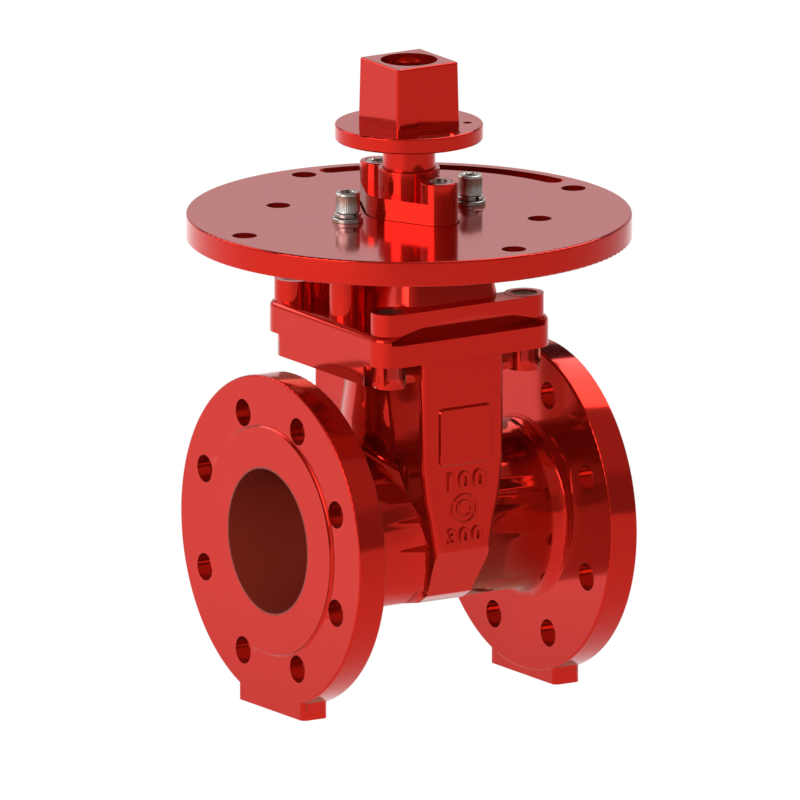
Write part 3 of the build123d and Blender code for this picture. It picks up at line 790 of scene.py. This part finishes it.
class VALVE_OT_screws(bpy.types.Operator):
    """Socket head screws, split and flat washers, and the wax over the bonnet bolts."""

    bl_idname = "valve.screws"
    bl_label = "Screws and washers"

    def execute(self, context):
        knurls = context.scene.valve_detail.head_knurls
        for node, name, head, height, shank, pitch in (
            ("plate_screws", "plate_cap_screws", 8.25, 14.3, 5.0, 1.5),
            ("gland_screws", "gland_cap_screws", 9.0, 12.0, 6.0, 1.75),
            ("bonnet_bolts", "bonnet_cap_screws", 9.0, 12.0, 6.0, 1.75),
        ):
            low, high = box_mm(node)
            reach = np.round((high - head)[:2], 2)
            spots = {(sx * reach[0], sy * reach[1]) for sx in (1, -1) for sy in (1, -1)}
            screws = [
                socket_screw(x, y, high[2] - height, low[2], knurls, head, height, shank, pitch)
                for x, y in sorted(spots)
            ]
            place_piece(name, joined(name, screws), "valve", zinc(), replaced=(node,),
                        sharp=38.0)
        washer_hole = 5.6
        low, high = box_mm("plate_washers")
        outer = (high[1] - low[1]) / 2
        centre = high[0] - outer
        rings = [flat_ring(side * centre, 0, low[2], high[2], washer_hole, outer)
                 for side in (1, -1)]
        place_piece("plate_flat_washers", joined("washers", rings), "valve", zinc(),
                    replaced=("plate_washers",))
        low, high = box_mm("plate_spring_washers")
        outer = high[0] - centre
        rings = [spring_ring(side * centre, 0, low[2], high[2], washer_hole, outer)
                 for side in (1, -1)]
        place_piece("plate_split_washers", joined("springs", rings), "valve", zinc(),
                    replaced=("plate_spring_washers",))
        low, high = box_mm("bolt_head_plugs")
        outer = 9.15
        reach = high[:2] - outer
        profile = [(8.9, low[2]), (outer, low[2] + 0.3)]
        profile += [(radius, high[2] - drop) for radius, drop in (
            (outer, 0.5), (8.9, 0.1), (8.3, 0.15), (6.5, 0.5), (4.0, 0.8), (1.5, 0.9))]
        plugs = [turned("plug", profile, sx * reach[0], sy * reach[1], turns=64)
                 for sx in (1, -1) for sy in (1, -1)]
        place_piece("bolt_wax_plugs", joined("plugs", plugs), "valve", sealing_wax(),
                    replaced=("bolt_head_plugs",), sharp=60.0)
        return {"FINISHED"}


class VALVE_OT_stem(bpy.types.Operator):
    """Stem with its screw thread, collar and square end, and the nut's bolt and washer."""

    bl_idname = "valve.stem_parts"
    bl_label = "Stem and nut bolt"

    def execute(self, context):
        pitch = context.scene.valve_detail.thread_pitch / MM
        lift = AXIS_Z / MM
        low, high = box_mm("stem")
        thread_low, thread_high = low[2], lift + 190.0
        collar_low, collar_high = lift + 203.0, lift + 211.0
        square_low = lift + 243.0
        steps = int((thread_high - thread_low) / 0.45)
        outline = [
            (8.0, thread_low, ROUND), (9.6, thread_low + 1.5, ROUND),
            *((10.0, z, THREAD) for z in np.linspace(thread_low + 2.0, thread_high, steps)),
            (10.0, thread_high + 0.6, ROUND), (12.0, thread_high + 1.0, ROUND),
            (12.0, collar_low, ROUND), (19.2, collar_low, ROUND), (19.5, collar_low + 0.4, ROUND),
            (19.5, collar_high - 0.4, ROUND), (19.2, collar_high, ROUND),
            (13.5, collar_high, ROUND), (13.5, square_low - 0.4, ROUND), (13.1, square_low, ROUND),
            (9.5, square_low, SQUARE), (9.5, high[2] - 0.6, SQUARE), (9.0, high[2], SQUARE),
            (5.2, high[2], ROUND), (5.2, high[2] - 20.0, ROUND),
        ]

        def trapezoid_thread(z, angle):
            """Flat crests and roots with straight flanks between them, once a pitch."""
            saw = np.abs(np.mod(z / pitch - angle / (2 * np.pi), 1.0) - 0.5) * 2
            return 1 - 0.17 * np.clip((saw - 0.28) / 0.44, 0, 1)

        def four_sided(z, angle):
            """One over the cosine of the angle from the nearest flat, with broken corners."""
            fold = np.mod(angle + np.pi / 4, np.pi / 2) - np.pi / 4
            return np.minimum(1 / np.cos(fold), 1.36)

        mesh = turned_steps("stem", outline, 0, 0, 128, {
            THREAD: trapezoid_thread, SQUARE: four_sided})
        place_piece("threaded_stem", joined("stem", [mesh]), "stem", stainless(),
                    replaced=("stem",), sharp=38.0)

        low, high = box_mm("nut_bolt")
        seat = lift + 308.0
        outline = [
            (4.2, low[2], ROUND), (5.0, low[2] + 0.8, ROUND), (5.0, seat, ROUND),
            (7.6, seat, ROUND), (8.0, seat + 0.3, HEXAGON), (8.0, high[2] - 1.4, HEXAGON),
            (7.9, high[2] - 0.5, CHAMFERED), (7.5, high[2], ROUND), (1.0, high[2], ROUND),
        ]
        bolt = turned_steps("bolt", outline, 0, 0, 120, {
            HEXAGON: lambda z, t: hex_factor(t, 0.01),
            CHAMFERED: lambda z, t: np.minimum(hex_factor(t, 0.01), 1.06),
        })
        place_piece("nut_hex_bolt", joined("bolt", [bolt]), "stem", zinc(),
                    replaced=("nut_bolt",), sharp=34.0)

        low, high = box_mm("nut_washer")
        washer = flat_ring(0, 0, low[2], high[2], 5.5, 17.0)
        place_piece("nut_round_washer", joined("washer", [washer]), "stem", zinc(),
                    replaced=("nut_washer",))
        return {"FINISHED"}


class VALVE_OT_inner_parts(bpy.types.Operator):
    """Finishes of the seals, washers, wedge and guide shoes."""

    bl_idname = "valve.inner_parts"
    bl_label = "Seals and wedge"

    def execute(self, context):
        finishes = {
            "bonnet_gasket": black_rubber, "gland_seal_ring": black_rubber,
            "stem_seal_rings": black_rubber, "wiper_ring": black_rubber,
            "wedge_core": grey_iron, "wedge_nut": bronze, "guide_shoes": nylon,
            "lower_thrust_washer": nylon, "upper_thrust_washer": nylon,
        }
        for node, make in finishes.items():
            material = make()
            for slot in nodes[node].material_slots:
                slot.material = material
        dressed_copy("wedge_rubber", "wedge_skin", "wedge", wedge_rubber(), 0.0009)
        return {"FINISHED"}


class VALVE_OT_stage(bpy.types.Operator):
    """Plain pale floor, soft light and the camera."""

    bl_idname = "valve.stage"
    bl_label = "Stage"

    def execute(self, context):
        scene = context.scene
        stage = scene.valve_stage
        scene.view_settings.view_transform = "Standard"
        self.world(scene, stage)
        self.floor()
        self.lamp("key_lamp", (-2.22, -1.80, 1.12), 0.7, stage.key_power)
        self.lamp("top_lamp", (0.2, 0.3, 2.6), 2.0, stage.fill_power)
        self.softbox("side_softbox", (-2.75, -0.35, 1.38), 1.6, stage.side_box, wide=1.25)
        self.softbox("right_softbox", (1.60, 0.42, 2.60), 2.1, stage.top_box)
        self.softbox("rear_softbox", (-1.00, 2.15, 1.95), 1.6, stage.top_box)
        self.camera(scene, stage)
        return {"FINISHED"}

    def world(self, scene, stage):
        """Even pale surroundings, white where the camera sees them. Glossy rays see a room that is
        darker to one side, with a dim ceiling above it."""
        world = bpy.data.worlds.new("studio")
        scene.world = world
        world.use_nodes = True
        tree = world.node_tree
        back = fill(tree.nodes["Background"], Color=(1.0, 0.985, 0.975, 1), Strength=stage.sky)
        white = fill(tree.nodes.new("ShaderNodeBackground"), Color=(1, 1, 1, 1), Strength=1.0)
        path = tree.nodes.new("ShaderNodeLightPath")
        for_mirror = tree.nodes.new("ShaderNodeMixShader")
        place = tree.nodes.new("ShaderNodeTexCoord")
        split = math_node(tree, "DOT_PRODUCT", "ShaderNodeVectorMath")
        split.inputs[1].default_value = (-0.45, 0.80, 0.30)
        ramp = fill(tree.nodes.new("ShaderNodeMapRange"),
                    From_Min=-0.55, From_Max=0.35, To_Min=0.34, To_Max=0.97)
        height = tree.nodes.new("ShaderNodeSeparateXYZ")
        ceiling = fill(tree.nodes.new("ShaderNodeMapRange"),
                       From_Min=-0.10, From_Max=0.35, To_Min=0.56, To_Max=0.07)
        band = fill(tree.nodes.new("ShaderNodeMapRange"), From_Min=0.34, From_Max=0.44)
        shade = mix_node(tree, "FLOAT")
        mirrored = tree.nodes.new("ShaderNodeBackground")
        mix = tree.nodes.new("ShaderNodeMixShader")
        wire(
            tree,
            (place.outputs["Generated"], split.inputs[0]),
            (split.outputs["Value"], ramp.inputs["Value"]),
            (place.outputs["Generated"], height.inputs[0]),
            (height.outputs["Y"], ceiling.inputs["Value"]),
            (height.outputs["Z"], band.inputs["Value"]),
            (band.outputs["Result"], shade.inputs[0]),
            (ramp.outputs["Result"], shade.inputs[2]),
            (ceiling.outputs["Result"], shade.inputs[3]),
            (shade.outputs[0], mirrored.inputs["Strength"]),
            (path.outputs["Is Glossy Ray"], for_mirror.inputs["Fac"]),
            (back.outputs[0], for_mirror.inputs[1]),
            (mirrored.outputs[0], for_mirror.inputs[2]),
            (path.outputs["Is Camera Ray"], mix.inputs["Fac"]),
            (for_mirror.outputs[0], mix.inputs[1]),
            (white.outputs[0], mix.inputs[2]),
            (mix.outputs[0], tree.nodes["World Output"].inputs["Surface"]),
        )

    def floor(self):
        """Wide disc just under the feet: radius r and angle t give (r cos t, r sin t, z). The
        camera sees it nearly white, and for glossy rays it glows as painted reflection light,
        paler to one side, in place of its own lit shading."""
        radius = np.array([0.5, 1.0, 2.0, 4.0, 8.0, 14.0])
        angle = np.linspace(0, 2 * np.pi, 96, endpoint=False)
        below_feet = -0.0002
        grid = np.stack((
            radius[:, None] * np.cos(angle), radius[:, None] * np.sin(angle),
            np.full((len(radius), len(angle)), below_feet),
        ), axis=-1)
        mesh = surface_mesh("floor", grid, cap_start=True)
        ground = bpy.data.objects.new("floor", mesh)
        bpy.context.collection.objects.link(ground)
        material = bpy.data.materials.new("pale_floor")
        material.use_nodes = True
        tree = material.node_tree
        shader = fill(tree.nodes["Principled BSDF"], Base_Color=(0.36, 0.36, 0.36, 1),
                      Roughness=0.9, Specular_IOR_Level=0.1)
        seen = fill(tree.nodes.new("ShaderNodeEmission"), Color=(1, 1, 1, 1), Strength=1.16)
        # Painted reflection light: glossy rays see the floor glowing, brighter to one side.
        mirrored = tree.nodes.new("ShaderNodeEmission")
        place = tree.nodes.new("ShaderNodeTexCoord")
        along = math_node(tree, "DOT_PRODUCT", "ShaderNodeVectorMath")
        along.inputs[1].default_value = (-0.62, 0.78, 0)
        ramp = fill(tree.nodes.new("ShaderNodeMapRange"),
                    From_Min=-0.45, From_Max=0.45, To_Min=0.80, To_Max=1.25)
        path = tree.nodes.new("ShaderNodeLightPath")
        share = math_node(tree, "MULTIPLY")
        share.inputs[1].default_value = 0.86
        for_view = tree.nodes.new("ShaderNodeMixShader")
        for_mirror = tree.nodes.new("ShaderNodeMixShader")
        wire(
            tree,
            (place.outputs["Object"], along.inputs[0]),
            (along.outputs["Value"], ramp.inputs["Value"]),
            (ramp.outputs["Result"], mirrored.inputs["Strength"]),
            (path.outputs["Is Camera Ray"], share.inputs[0]),
            (share.outputs[0], for_view.inputs["Fac"]),
            (shader.outputs[0], for_view.inputs[1]),
            (seen.outputs[0], for_view.inputs[2]),
            (path.outputs["Is Glossy Ray"], for_mirror.inputs["Fac"]),
            (for_view.outputs[0], for_mirror.inputs[1]),
            (mirrored.outputs[0], for_mirror.inputs[2]),
            (for_mirror.outputs[0], tree.nodes["Material Output"].inputs["Surface"]),
        )
        mesh.materials.append(material)

    def lamp(self, name, place, size, power):
        """Square soft lamp aimed at the middle of the valve."""
        data = bpy.data.lights.new(name, "AREA")
        data.shape = "SQUARE"
        data.size = size
        data.energy = power
        lamp = bpy.data.objects.new(name, data)
        bpy.context.collection.objects.link(lamp)
        lamp.location = place
        lamp.visible_glossy = False
        aim = Vector((0, 0, 0.22)) - Vector(place)
        lamp.rotation_euler = aim.to_track_quat("-Z", "Y").to_euler()

    def softbox(self, name, place, size, brightness, wide=1.0):
        """Lamp that only shows in glossy reflections and is wide times its height across; its power
        is pi times brightness times area."""
        self.lamp(name, place, size, math.pi * brightness * wide * size ** 2)
        lamp = bpy.data.objects[name]
        lamp.data.shape = "RECTANGLE"
        lamp.data.size = wide * size
        lamp.data.size_y = size
        lamp.visible_glossy = True
        lamp.visible_diffuse = False

    def camera(self, scene, stage):
        """Parallel view whose right, up and back directions come from the turn and the rise."""
        turn, rise = stage.view_turn, stage.view_rise
        axis_left, axis_below = 9.0, 120.8  # pixels from the picture's middle to the pipe's axis
        distance = 3.0
        right = Vector((math.sin(turn), -math.cos(turn), 0))
        back = Vector((
            -math.cos(turn) * math.cos(rise), -math.sin(turn) * math.cos(rise), math.sin(rise)))
        up = back.cross(right)
        data = bpy.data.cameras.new("camera")
        data.type = "ORTHO"
        data.ortho_scale = stage.view_width
        data.clip_end = 50.0
        camera = bpy.data.objects.new("camera", data)
        bpy.context.collection.objects.link(camera)
        pixel = stage.view_width / IMAGE_PIXELS
        aim = Vector((0, 0, AXIS_Z)) - axis_left * pixel * right + axis_below * pixel * up
        camera.matrix_world = Matrix.Translation(aim + back * distance) @ Matrix(
            (right, up, back)).transposed().to_4x4()
        scene.camera = camera


class VALVE_PT_panel(bpy.types.Panel):
    """Settings and makers of the valve."""

    bl_idname = "VALVE_PT_panel"
    bl_label = "Gate valve"
    bl_space_type = "VIEW_3D"
    bl_region_type = "UI"
    bl_category = "Valve"

    def draw(self, context):
        layout = self.layout
        scene = context.scene
        for group in (scene.valve_paint, scene.valve_detail, scene.valve_stage):
            box = layout.box()
            for name in group.bl_rna.properties.keys():
                if name not in ("rna_type", "name"):
                    box.prop(group, name)
        for operator in OPERATORS:
            layout.operator(operator.bl_idname)


OPERATORS = (
    VALVE_OT_castings, VALVE_OT_fillets, VALVE_OT_marks, VALVE_OT_screws, VALVE_OT_stem,
    VALVE_OT_inner_parts, VALVE_OT_stage,
)
CLASSES = (
    ValvePaintProperties, ValveDetailProperties, ValveStageProperties, *OPERATORS, VALVE_PT_panel,
)


def register():
    """Classes and the settings that they read."""
    for item in CLASSES:
        bpy.utils.register_class(item)
    bpy.types.Scene.valve_paint = bpy.props.PointerProperty(type=ValvePaintProperties)
    bpy.types.Scene.valve_detail = bpy.props.PointerProperty(type=ValveDetailProperties)
    bpy.types.Scene.valve_stage = bpy.props.PointerProperty(type=ValveStageProperties)


def unregister():
    """Everything that register adds, taken away again."""
    del bpy.types.Scene.valve_stage
    del bpy.types.Scene.valve_detail
    del bpy.types.Scene.valve_paint
    for item in reversed(CLASSES):
        bpy.utils.unregister_class(item)


def main():
    register()
    bpy.ops.valve.castings()
    bpy.ops.valve.fillets()
    bpy.ops.valve.marks()
    bpy.ops.valve.screws()
    bpy.ops.valve.stem_parts()
    bpy.ops.valve.inner_parts()
    bpy.ops.valve.stage()
    bpy.context.view_layer.update()


if __name__ == "__main__":
    main()
